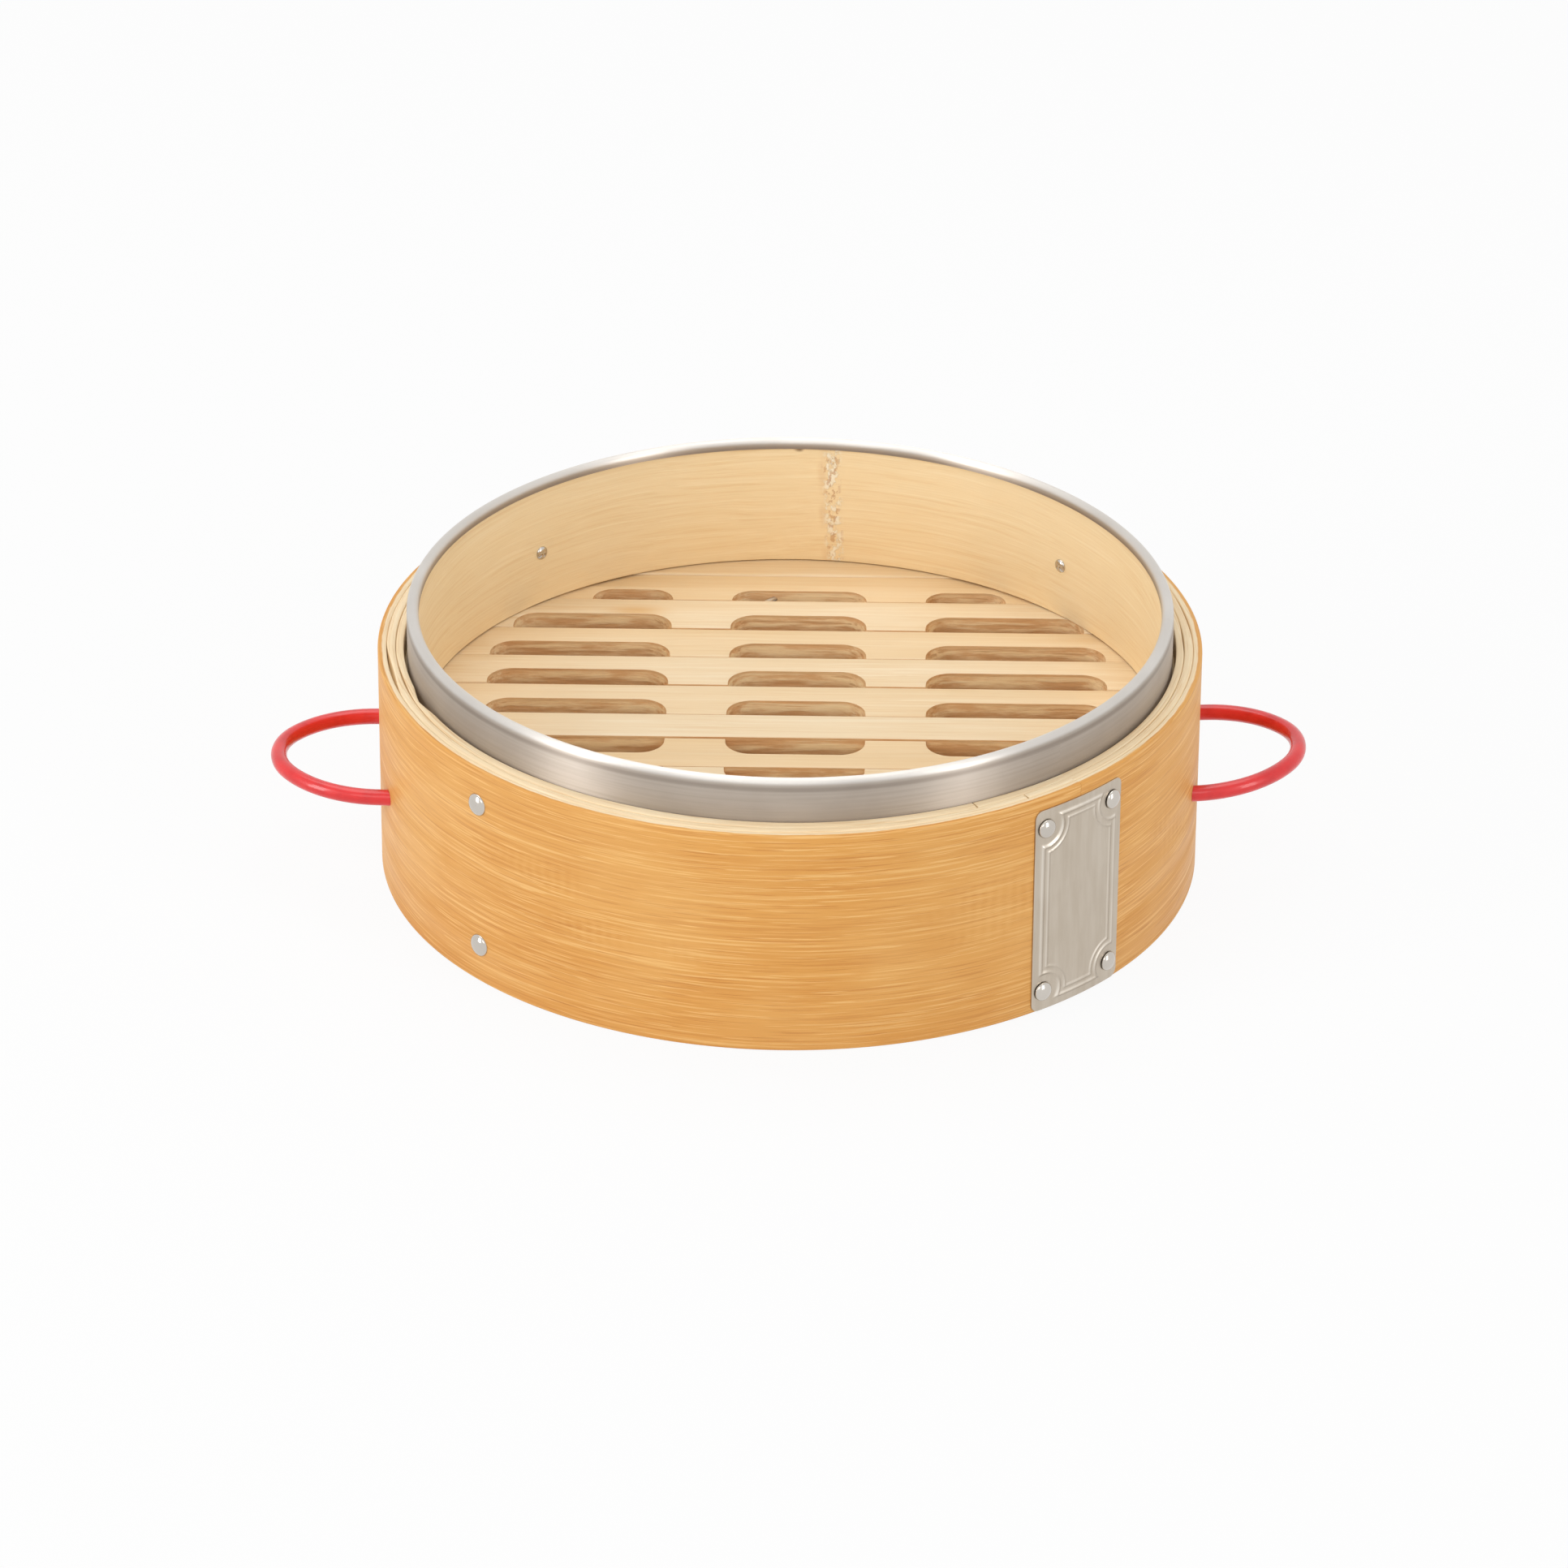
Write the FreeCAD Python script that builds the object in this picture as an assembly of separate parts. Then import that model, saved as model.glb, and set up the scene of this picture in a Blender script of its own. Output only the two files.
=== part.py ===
import FreeCAD, Part
import math
import os

from FreeCAD import Vector

# One tier of a round steamer basket. Millimetres, +Z up, origin at the centre of the
# bottom edge, handles on the X axis. Azimuths are in degrees from +X, towards +Y.

# Overall sizes
outer_r = 120.0             # outside of the outer hoop
ledge_z = 68.7              # height of the three wall hoops, whose tops form a ledge
rim_top_z = 81.4            # top of the steel rim
floor_top_z = 40.5          # upper face of the floor

# Wall hoops, from the outside in
outer_ply = 2.6             # thickness of the outer hoop
middle_ply = 2.2            # thickness of the middle hoop
liner_ply = 2.2             # thickness of the inner liner
ply_gap = 0.3               # air left between two wall hoops
seam_gap = 0.5              # opening between the two ends of a bent strip
middle_seam_deg = -54.5     # where the ends of the middle hoop meet
liner_seam_deg = -62.0      # where the ends of the liner meet
collar_seam_deg = -95.0     # where the ends of the collar meet
filler_seam_deg = 100.0     # where the ends of the filler hoop meet
support_seam_deg = 60.0     # where the ends of the support ring meet

# Steel rim and the collar that it covers
rim_gap = 1.0               # gap between the rim and the liner's top edge
rim_sheet = 0.5             # thickness of the rolled sheet
collar_ply = 2.3            # thickness of the upper collar
fit_gap = 0.1               # play between pieces that are pressed together
skirt_reach = 6.7           # how far the skirt of the rim reaches below the ledge
skirt_flare = 0.5           # how far the hidden end of the skirt is spread outwards
flare_start = 0.5           # height above the ledge where the spread begins
lip_drop = 1.2              # length of the inner lip below the rolled bead

# Support ring and floor
socket_depth = 13.5         # free depth under the support ring, which takes the rim of the tier below
socket_relief = 0.6         # the liner is thinned by this much there, so that the rim goes in easily
support_ply = 3.6           # thickness of the support ring
seat_gap = 0.2              # play where the floor is trapped between the hoops
slat_thick = 6.0            # thickness of a slat
slat_gap = 0.3              # gap between two slats
slat_end_gap = 0.3          # gap between the slat ends and the liner
centre_slat_front_y = -8.1  # front edge of the plain slat in the middle
centre_slat_rear_y = 6.5    # its rear edge
rear_slat_w = (18.7, 18.3, 18.5, 19.2, 16.8)  # widths of the notched slats behind it, outwards
front_slat_w = (17.9, 17.9, 17.9, 17.9, 18.0)  # widths of the notched slats in front of it
notched_rows = 5            # notched slats on each side of the middle one

# Steam slots: notches in the slat edge that faces the middle
slot_shift_x = 1.8          # the slots and battens lie this far right of the middle
centre_slot_half = 20.3     # half the length of the middle slot
bridge_w = 18.0             # solid part between two slots
slot_land = 16.75           # solid part between a long slot and the collar
slot_depth = 9.3            # width of a slot
end_slot_depth = 6.8        # width of the slots in the row nearest the end
end_slot_land = 5.5         # solid part between those slots and the collar
slot_corner_r = 7.5         # rounding of a slot's two far corners

# Cross battens and their nails
batten_w = 14.0             # width of a batten
batten_thick = 6.0          # thickness of a batten
batten_fit = 0.2            # play of a batten in its notch in the support ring
nail_r = 0.7                # radius of a nail
nail_head_r = 1.6           # radius of its head
nail_head_h = 0.5           # thickness of its head
nail_bite = 4.4             # depth of the nail in the slat
brad_r = 0.8                # radius of the slanting brad
brad_length = 13.0          # length of the brad
brad_x = -9.0               # where it crosses the rear middle slot
brad_turn_deg = 50.0        # its direction, from +X towards +Y

# Rivets
rivet_azimuths = (42.3, 134.4, 223.5)
upper_rivet_drop = 4.7      # depth of the upper row below the rim's skirt, through all five hoops
lower_rivet_z = 11.8        # height of the lower row, through the three wall hoops
rivet_r = 1.5               # radius of the shank
rivet_head_r = 3.4          # radius of the domed head
rivet_head_h = 1.5          # height of the dome
clinch_r = 2.1              # radius of the clinched end
clinch_h = 0.8              # thickness of the clinched end
hole_play = 0.1             # radial play of a shank in its hole

# Plate on the wall
plate_azimuth = -46.2       # middle of the plate, over the seam of the outer hoop
plate_w = 34.0              # width
plate_top_gap = 3.8         # distance of its upper edge from the ledge
plate_bottom_z = 0.4        # lower edge
plate_sheet = 0.5           # thickness
plate_corner_r = 2.5        # rounding of its corners
plate_rivet_half_w = 13.0   # half the distance between its two columns of rivets
plate_rivet_inset_z = 6.0   # distance of a rivet from the upper or lower edge
plate_head_r = 2.9          # radius of a plate rivet's head
plate_head_h = 1.4          # height of a plate rivet's head

# Handles
wire_r = 1.3                # radius of the steel wire
sleeve_r = 2.35             # outer radius of the plastic sleeve
sleeve_play = 0.05          # radial play between sleeve and wire
handle_z = 32.0             # height of the handles
handle_half = 25.2          # half the distance between the two legs
handle_reach = 29.4         # distance of the loop's middle from the wall
handle_tip_r = 20.8         # bend of the middle of the loop
handle_bend_r = 2.6         # bend of each leg behind the support ring
handle_tail = 8.0           # length that is bent down there
left_shift_y = -6.8         # the left handle lies this far off centre
right_shift_y = 2.0         # and the right one this far
left_tilt_deg = 2.0         # the left handle points up by this much
right_tilt_deg = 5.4        # and the right one by this much
sleeve_end_gap = 0.2        # gap between the sleeve's ends and the wall

# Radii and heights that follow from the values above
middle_outer_r = outer_r - outer_ply - ply_gap
liner_outer_r = middle_outer_r - middle_ply - ply_gap
liner_inner_r = liner_outer_r - liner_ply
socket_r = liner_inner_r + socket_relief
rim_outer_r = liner_inner_r - rim_gap
skirt_inner_r = rim_outer_r - rim_sheet
collar_outer_r = skirt_inner_r - fit_gap
collar_inner_r = collar_outer_r - collar_ply
lip_outer_r = collar_inner_r - fit_gap
lip_inner_r = lip_outer_r - rim_sheet
bead_r = (rim_outer_r - lip_inner_r) / 2
bead_mid_r = (rim_outer_r + lip_inner_r) / 2
collar_top_z = rim_top_z - bead_r
skirt_bottom_z = ledge_z - skirt_reach
upper_rivet_z = skirt_bottom_z - upper_rivet_drop
plate_h = ledge_z - plate_top_gap - plate_bottom_z
slat_bottom_z = floor_top_z - slat_thick
support_top_z = slat_bottom_z - seat_gap
support_outer_r = liner_inner_r - seat_gap
support_inner_r = support_outer_r - support_ply
floor_r = liner_inner_r - slat_end_gap
batten_x = centre_slot_half + bridge_w / 2
batten_bottom_z = support_top_z - batten_thick


def turned(shape, azimuth):
    """Turn a shape made on the +X side to an azimuth."""
    return shape.rotate(Vector(0, 0, 0), Vector(0, 0, 1), azimuth)


def disc_x(radius, start_x, end_x, height):
    """A round bar along X at a height above the base."""
    return Part.makeCylinder(radius, end_x - start_x, Vector(start_x, 0, height), Vector(1, 0, 0))


def hoop(inner_radius, outer_radius, bottom_z, top_z, seam_deg):
    """A strip bent to a ring, with a narrow gap where its two ends meet."""
    foot = Vector(0, 0, bottom_z)
    ring = Part.makeCylinder(outer_radius, top_z - bottom_z, foot)
    ring = ring.cut(Part.makeCylinder(inner_radius, top_z - bottom_z, foot))
    seam = Part.makeBox(outer_radius, seam_gap, top_z - bottom_z, Vector(0, -seam_gap / 2, bottom_z))
    return ring.cut(turned(seam, seam_deg))


def dome(radius, height, base_x, z, direction):
    """A rivet's domed head: a slice of a ball on a flat base, bulging along +X or -X."""
    ball_r = (radius ** 2 + height ** 2) / (2 * height)
    ball = Part.makeSphere(ball_r, Vector(base_x - direction * (ball_r - height), 0, z))
    near_x = min(base_x, base_x + direction * height)
    slab = Part.makeBox(height, 2 * radius, 2 * radius, Vector(near_x, -radius, z - radius))
    return ball.common(slab)


def band_rivet(azimuth, z, head_x, end_x, head_radius, head_height):
    """A rivet with its domed head at head_x and its clinched end at end_x, nearer the axis."""
    shank = disc_x(rivet_r, end_x, head_x, z)
    head = dome(head_radius, head_height, head_x, z, 1)
    return turned(shank.fuse(head), azimuth)


def upper_rivets():
    """Rivets through every hoop. Each ends in a small dome inside the collar."""
    end_x = collar_inner_r - fit_gap
    rivets = []
    for azimuth in rivet_azimuths:
        rivet = band_rivet(azimuth, upper_rivet_z, outer_r, end_x, rivet_head_r, rivet_head_h)
        clinch = turned(dome(clinch_r, clinch_h, end_x, upper_rivet_z, -1), azimuth)
        rivets.append(rivet.fuse(clinch))
    return Part.makeCompound(rivets)


def flush_rivet(azimuth, z, head_x, head_radius, head_height):
    """A rivet whose clinched end lies in a recess, flush with the face of the liner."""
    end_x = socket_r + fit_gap
    rivet = band_rivet(azimuth, z, head_x, end_x, head_radius, head_height)
    clinch = turned(disc_x(clinch_r, end_x, end_x + clinch_h, z), azimuth)
    return rivet.fuse(clinch)


def plate_rivet_places():
    """Azimuth and height of each rivet of the plate."""
    step = math.degrees(plate_rivet_half_w / outer_r)
    low_z = plate_bottom_z + plate_rivet_inset_z
    high_z = plate_bottom_z + plate_h - plate_rivet_inset_z
    return [(plate_azimuth + side * step, z) for side in (-1, 1) for z in (low_z, high_z)]


def rivet_hole(azimuth, z):
    """The hole that a rivet passes through, long enough for every hoop."""
    return turned(disc_x(rivet_r + hole_play, lip_inner_r, outer_r + 2 * plate_sheet, z), azimuth)


def clinch_recess(azimuth, z):
    """The recess in the liner that takes a flush clinched end."""
    depth_x = socket_r + fit_gap + clinch_h + hole_play
    return turned(disc_x(clinch_r + hole_play, skirt_inner_r, depth_x, z), azimuth)


def nameplate():
    """A curved sheet with rounded corners and four holes."""
    inner = outer_r + fit_gap
    foot = Vector(0, 0, plate_bottom_z)
    shell = Part.makeCylinder(inner + plate_sheet, plate_h, foot)
    shell = shell.cut(Part.makeCylinder(inner, plate_h, foot))
    block = Part.makeBox(outer_r, plate_w, plate_h, Vector(outer_r / 2, -plate_w / 2, plate_bottom_z))
    corners = [edge for edge in block.Edges if abs(edge.tangentAt(edge.FirstParameter).x) > 0.9]
    sheet = turned(shell.common(block.makeFillet(plate_corner_r, corners)), plate_azimuth)
    return sheet.cut([rivet_hole(azimuth, z) for azimuth, z in plate_rivet_places()])


def steel_rim():
    """Sheet rolled over the collar: long skirt outside, half-round bead, short lip inside."""
    lip_z = collar_top_z - lip_drop
    flare_z = ledge_z + flare_start
    inner_bead = bead_r - rim_sheet
    corners = [
        Vector(rim_outer_r + skirt_flare, 0, skirt_bottom_z), Vector(rim_outer_r, 0, flare_z),
        Vector(rim_outer_r, 0, collar_top_z), Vector(bead_mid_r, 0, rim_top_z),
        Vector(lip_inner_r, 0, collar_top_z), Vector(lip_inner_r, 0, lip_z),
        Vector(lip_outer_r, 0, lip_z), Vector(lip_outer_r, 0, collar_top_z),
        Vector(bead_mid_r, 0, collar_top_z + inner_bead), Vector(skirt_inner_r, 0, collar_top_z),
        Vector(skirt_inner_r, 0, flare_z), Vector(skirt_inner_r + skirt_flare, 0, skirt_bottom_z)]
    outline = [
        Part.LineSegment(corners[0], corners[1]),
        Part.LineSegment(corners[1], corners[2]),
        Part.Arc(corners[2], corners[3], corners[4]),
        Part.LineSegment(corners[4], corners[5]),
        Part.LineSegment(corners[5], corners[6]),
        Part.LineSegment(corners[6], corners[7]),
        Part.Arc(corners[7], corners[8], corners[9]),
        Part.LineSegment(corners[9], corners[10]),
        Part.LineSegment(corners[10], corners[11]),
        Part.LineSegment(corners[11], corners[0])]
    profile = Part.Face(Part.Wire([curve.toShape() for curve in outline]))
    return profile.revolve(Vector(0, 0, 0), Vector(0, 0, 1), 360)


def notch(x0, x1, edge_y, back_y):
    """One steam slot: open at the slat's edge, rounded at its two far corners."""
    side = 1 if back_y > edge_y else -1
    corner = min(slot_corner_r, 0.45 * (x1 - x0), 0.95 * abs(back_y - edge_y))
    start_y = edge_y - side * slat_gap
    turn = corner * (1 - math.sqrt(0.5))
    points = [
        Vector(x0, start_y, 0), Vector(x0, back_y - side * corner, 0),
        Vector(x0 + turn, back_y - side * turn, 0), Vector(x0 + corner, back_y, 0),
        Vector(x1 - corner, back_y, 0), Vector(x1 - turn, back_y - side * turn, 0),
        Vector(x1, back_y - side * corner, 0), Vector(x1, start_y, 0)]
    outline = [
        Part.LineSegment(points[0], points[1]),
        Part.Arc(points[1], points[2], points[3]),
        Part.LineSegment(points[3], points[4]),
        Part.Arc(points[4], points[5], points[6]),
        Part.LineSegment(points[6], points[7]),
        Part.LineSegment(points[7], points[0])]
    face = Part.Face(Part.Wire([curve.toShape() for curve in outline]))
    face.translate(Vector(0, 0, slat_bottom_z - slat_thick))
    return face.extrude(Vector(0, 0, 3 * slat_thick))


def row_notches(row, side, edge_y):
    """The three slots of a row, counted from the middle; side is +1 behind and -1 in front."""
    last = row == notched_rows - 1
    depth = end_slot_depth if last else slot_depth
    land = end_slot_land if last else 0.0
    back_y = edge_y + side * depth
    chord = math.sqrt(collar_inner_r ** 2 - (edge_y + side * depth / 2) ** 2)
    inner_x = centre_slot_half + bridge_w
    outer_x = min(collar_inner_r - slot_land, chord - land)
    spans = [(-centre_slot_half, centre_slot_half), (inner_x, outer_x), (-outer_x, -inner_x)]
    return [notch(x0 + slot_shift_x, x1 + slot_shift_x, edge_y, back_y) for x0, x1 in spans]


def slat(low_y, high_y):
    """A plain slat between two lines, with its ends cut to the round of the floor."""
    width = high_y - low_y - slat_gap
    corner = Vector(-floor_r, low_y + slat_gap / 2, slat_bottom_z)
    plank = Part.makeBox(2 * floor_r, width, slat_thick, corner)
    return plank.common(Part.makeCylinder(floor_r, slat_thick, Vector(0, 0, slat_bottom_z)))


def floor_lines():
    """Y of every line between two slats, from the front of the floor to the rear."""
    rear = [centre_slat_rear_y + sum(rear_slat_w[:row]) for row in range(notched_rows + 1)]
    front = [centre_slat_front_y - sum(front_slat_w[:row]) for row in range(notched_rows + 1)]
    return [-floor_r] + front[::-1] + rear + [floor_r]


def floor_slats():
    """All slats from front to rear, the notched ones with their slots."""
    lines = floor_lines()
    middle = len(lines) // 2 - 1
    slats = []
    for index in range(len(lines) - 1):
        plank = slat(lines[index], lines[index + 1])
        row = abs(index - middle) - 1
        if 0 <= row < notched_rows:
            side = 1 if index > middle else -1
            edge_y = lines[index] if side > 0 else lines[index + 1]
            plank = plank.cut(row_notches(row, side, edge_y))
        slats.append(plank)
    return slats


def nail_places(lines):
    """X and Y of every nail: one in the middle of each slat, over each batten."""
    places = []
    for index in range(len(lines) - 1):
        for side in (-1, 1):
            x = side * batten_x + slot_shift_x
            end_y = math.sqrt((support_inner_r - nail_head_r - 2 * seat_gap) ** 2 - x ** 2)
            places.append((x, (max(lines[index], -end_y) + min(lines[index + 1], end_y)) / 2))
    return places


def nail(x, y):
    """A nail with its head under the batten and its point inside the slat."""
    head_z = batten_bottom_z - nail_head_h
    head = Part.makeCylinder(nail_head_r, nail_head_h, Vector(x, y, head_z))
    shank_length = slat_bottom_z + nail_bite - batten_bottom_z
    return head.fuse(Part.makeCylinder(nail_r, shank_length, Vector(x, y, batten_bottom_z)))


def nail_hole(x, y):
    """The hole of one nail through the batten and into the slat."""
    length = slat_bottom_z + nail_bite + seat_gap - batten_bottom_z + nail_head_h
    return Part.makeCylinder(nail_r + hole_play, length, Vector(x, y, batten_bottom_z - nail_head_h))


def batten(side, play):
    """A cross batten. With play it is the notch that the batten lies in."""
    half = batten_w / 2 + play
    size_z = batten_thick + 2 * play
    corner = Vector(side * batten_x + slot_shift_x - half, -outer_r, batten_bottom_z - play)
    bar = Part.makeBox(2 * half, 2 * outer_r, size_z, corner)
    foot = Vector(0, 0, batten_bottom_z - play)
    return bar.common(Part.makeCylinder(support_outer_r + play, size_z, foot))


def brad(radius, length):
    """The slanting brad that joins the last two notched slats, or its hole."""
    turn = math.radians(brad_turn_deg)
    along = Vector(math.cos(turn), math.sin(turn), 0)
    middle_y = floor_lines()[-3] + end_slot_depth / 2
    middle = Vector(brad_x, middle_y, (floor_top_z + slat_bottom_z) / 2)
    return Part.makeCylinder(radius, length, middle - along * (length / 2), along)


def handle_y(side):
    """Y of the middle of a handle; side is +1 on the right and -1 on the left."""
    return left_shift_y if side < 0 else right_shift_y


def wall_x(radius, y):
    """X of a round wall of a radius at a distance y from the X axis."""
    return math.sqrt(radius ** 2 - y ** 2)


def loop_edges(middle_y):
    """The bent part of a handle: a wide arc, the round tip and a wide arc, all tangent."""
    tip_x = outer_r + handle_reach - handle_tip_r
    span = tip_x - outer_r
    side_r = (span ** 2 + handle_half ** 2 - handle_tip_r ** 2) / (2 * (handle_half - handle_tip_r))
    turn = math.atan2(span, side_r - handle_half)

    def on_side(sign, angle):
        x = outer_r + side_r * math.sin(angle)
        y = middle_y + sign * (handle_half - side_r + side_r * math.cos(angle))
        return Vector(x, y, handle_z)

    tip = Vector(outer_r + handle_reach, middle_y, handle_z)
    return [
        Part.Arc(on_side(-1, 0), on_side(-1, turn / 2), on_side(-1, turn)),
        Part.Arc(on_side(-1, turn), tip, on_side(1, turn)),
        Part.Arc(on_side(1, turn), on_side(1, turn / 2), on_side(1, 0))]


def leg_edges(y, inner_end):
    """A straight leg from the loop inwards; with inner_end it is bent down behind the ring."""
    start = Vector(outer_r, y, handle_z)
    if not inner_end:
        nearest = max(abs(y) - sleeve_r, 0.0)
        end_x = wall_x(outer_r, nearest) + sleeve_end_gap
        return [Part.LineSegment(start, Vector(end_x, y, handle_z))]
    bend_x = wall_x(support_inner_r, abs(y) + wire_r)
    turn = handle_bend_r * (1 - math.sqrt(0.5))
    tail_x = bend_x - handle_bend_r
    top = Vector(bend_x, y, handle_z)
    middle = Vector(tail_x + turn, y, handle_z - turn)
    low = Vector(tail_x, y, handle_z - handle_bend_r)
    end = Vector(tail_x, y, handle_z - handle_bend_r - handle_tail)
    return [Part.LineSegment(start, top), Part.Arc(top, middle, low), Part.LineSegment(low, end)]


def placed(shape, side):
    """Tilt a handle piece made on the right about the wall, and turn the left one over."""
    tilt = left_tilt_deg if side < 0 else right_tilt_deg
    tilted = shape.rotate(Vector(outer_r, 0, handle_z), Vector(0, 1, 0), -tilt)
    return tilted.mirror(Vector(0, 0, 0), Vector(1, 0, 0)) if side < 0 else tilted


def swept(edges, radius):
    """A round bar along tangent lines and arcs."""
    path = Part.Wire(Part.__sortEdges__([edge.toShape() for edge in edges]))
    first = path.OrderedEdges[0]
    start = path.OrderedVertexes[0].Point
    circle = Part.Wire([Part.makeCircle(radius, start, first.tangentAt(first.FirstParameter))])
    return path.makePipeShell([circle], True, False)


def handle_wire(side):
    """The steel wire of a handle, with both legs bent down behind the support ring."""
    middle_y = handle_y(side)
    low = leg_edges(middle_y - handle_half, True)
    high = leg_edges(middle_y + handle_half, True)
    return placed(swept(low + loop_edges(middle_y) + high, wire_r), side)


def handle_sleeve(side):
    """The plastic sleeve of a handle, from wall to wall."""
    middle_y = handle_y(side)
    ends = leg_edges(middle_y - handle_half, False), leg_edges(middle_y + handle_half, False)
    path = ends[0] + loop_edges(middle_y) + ends[1]
    tube = swept(path, sleeve_r).cut(swept(path, wire_r + sleeve_play))
    return placed(tube, side)


def handle_hole(side, y):
    """The hole of one leg of a handle through the hoops."""
    start_x = support_inner_r - 4 * support_ply
    start = Vector(start_x, y, handle_z)
    return placed(Part.makeCylinder(wire_r + hole_play, outer_r - start_x, start, Vector(1, 0, 0)), side)


def handle_holes():
    """The four holes of the two handles."""
    return [handle_hole(side, handle_y(side) + leg * handle_half) for side in (-1, 1) for leg in (-1, 1)]


def wall_hoops():
    """The three hoops of the wall, with the holes of rivets and handles."""
    plate_places = plate_rivet_places()
    low_places = [(azimuth, lower_rivet_z) for azimuth in rivet_azimuths]
    high_places = [(azimuth, upper_rivet_z) for azimuth in rivet_azimuths]
    holes = [rivet_hole(azimuth, z) for azimuth, z in plate_places + low_places + high_places]
    holes += handle_holes()
    recesses = [clinch_recess(azimuth, z) for azimuth, z in plate_places + low_places]
    outer = hoop(outer_r - outer_ply, outer_r, 0, ledge_z, plate_azimuth)
    middle = hoop(middle_outer_r - middle_ply, middle_outer_r, 0, ledge_z, middle_seam_deg)
    liner = hoop(liner_inner_r, liner_outer_r, 0, ledge_z, liner_seam_deg)
    liner = liner.cut(Part.makeCylinder(socket_r, socket_depth))
    return {
        "outer_band": outer.cut(holes),
        "middle_band": middle.cut(holes),
        "inner_liner": liner.cut(holes + recesses)}


def inner_hoops():
    """The collar and filler above the floor and the support ring below it."""
    high_holes = [rivet_hole(azimuth, upper_rivet_z) for azimuth in rivet_azimuths]
    foot_z = floor_top_z + seat_gap
    collar = hoop(collar_inner_r, collar_outer_r, foot_z, collar_top_z, collar_seam_deg)
    filler_top_z = skirt_bottom_z - seat_gap
    filler = hoop(skirt_inner_r, liner_inner_r - fit_gap, foot_z, filler_top_z, filler_seam_deg)
    ring = hoop(support_inner_r, support_outer_r, socket_depth, support_top_z, support_seam_deg)
    notches = [batten(-1, batten_fit), batten(1, batten_fit)]
    return {
        "upper_collar": collar.cut(high_holes),
        "filler_hoop": filler.cut(high_holes),
        "support_ring": ring.cut(notches + handle_holes())}


def floor_pieces():
    """Slats, battens, nails and the brad."""
    places = nail_places(floor_lines())
    nail_holes = [nail_hole(x, y) for x, y in places]
    brad_hole = brad(brad_r + hole_play, brad_length + 2 * hole_play)
    pieces = {}
    for index, plank in enumerate(floor_slats()):
        pieces["floor_slat_%02d" % (index + 1)] = plank.cut(nail_holes + [brad_hole])
    pieces["batten_left"] = batten(-1, 0).cut(nail_holes)
    pieces["batten_right"] = batten(1, 0).cut(nail_holes)
    pieces["batten_nails"] = Part.makeCompound([nail(x, y) for x, y in places])
    pieces["slat_brad"] = brad(brad_r, brad_length)
    return pieces


def metalwork():
    """Rim, plate and rivets."""
    plate_face = outer_r + 2 * fit_gap + plate_sheet
    plate_rivets = [
        flush_rivet(azimuth, z, plate_face, plate_head_r, plate_head_h)
        for azimuth, z in plate_rivet_places()]
    low_rivets = [
        flush_rivet(azimuth, lower_rivet_z, outer_r, rivet_head_r, rivet_head_h)
        for azimuth in rivet_azimuths]
    return {
        "steel_rim": steel_rim(),
        "nameplate": nameplate(),
        "nameplate_rivets": Part.makeCompound(plate_rivets),
        "upper_band_rivets": upper_rivets(),
        "lower_band_rivets": Part.makeCompound(low_rivets)}


def handles():
    """Wire and sleeve of each handle."""
    return {
        "handle_wire_left": handle_wire(-1),
        "handle_wire_right": handle_wire(1),
        "handle_sleeve_left": handle_sleeve(-1),
        "handle_sleeve_right": handle_sleeve(1)}


def main():
    os.makedirs("parts", exist_ok=True)
    pieces = {}
    for group in (wall_hoops, inner_hoops, floor_pieces, metalwork, handles):
        pieces.update(group())
    for node, shape in pieces.items():
        shape.exportStep("parts/%s.step" % node)
        print(node, len(shape.Solids), "solids, valid", shape.isValid(), "volume", round(shape.Volume, 1))


main()
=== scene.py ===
# %% [markdown]
# # A bamboo steamer basket, one tier
# The basket is a wall of three bent bamboo hoops, a pale collar with a rolled steel rim, a floor
# of slotted slats, a riveted plate and two red handles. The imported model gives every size. Here
# the pieces get softened edges, small irregularities and finishes. Nothing changes its size.

import math

import bmesh
import bpy
from mathutils import Matrix, Vector


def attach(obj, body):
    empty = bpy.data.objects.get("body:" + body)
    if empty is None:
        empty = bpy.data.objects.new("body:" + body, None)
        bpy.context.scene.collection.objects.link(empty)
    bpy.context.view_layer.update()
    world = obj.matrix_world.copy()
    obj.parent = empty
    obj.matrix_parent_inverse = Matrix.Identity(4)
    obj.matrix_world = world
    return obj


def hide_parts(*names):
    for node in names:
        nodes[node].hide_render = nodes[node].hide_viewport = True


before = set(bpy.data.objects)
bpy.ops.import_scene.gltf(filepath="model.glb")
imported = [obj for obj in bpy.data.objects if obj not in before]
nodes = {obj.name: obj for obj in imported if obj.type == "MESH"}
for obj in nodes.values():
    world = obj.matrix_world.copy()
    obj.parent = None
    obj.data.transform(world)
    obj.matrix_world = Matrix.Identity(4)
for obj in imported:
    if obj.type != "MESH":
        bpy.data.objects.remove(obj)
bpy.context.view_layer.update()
MM = 0.001

# %% [markdown]
# ## Camera, world, floor and lamps
# The basket stands on a plain white floor and is seen from the front and above, from far away,
# so a long lens keeps its hoops nearly parallel. The camera's place and turn are set as a
# matrix: its right, its up and the direction behind it. The floor and the world look white to
# the camera and in reflections, and stay at a plain level for the light that falls on the
# basket. Large panels give soft light from above, and two tall ones at the sides draw the
# bright bands on the steel.

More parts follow.
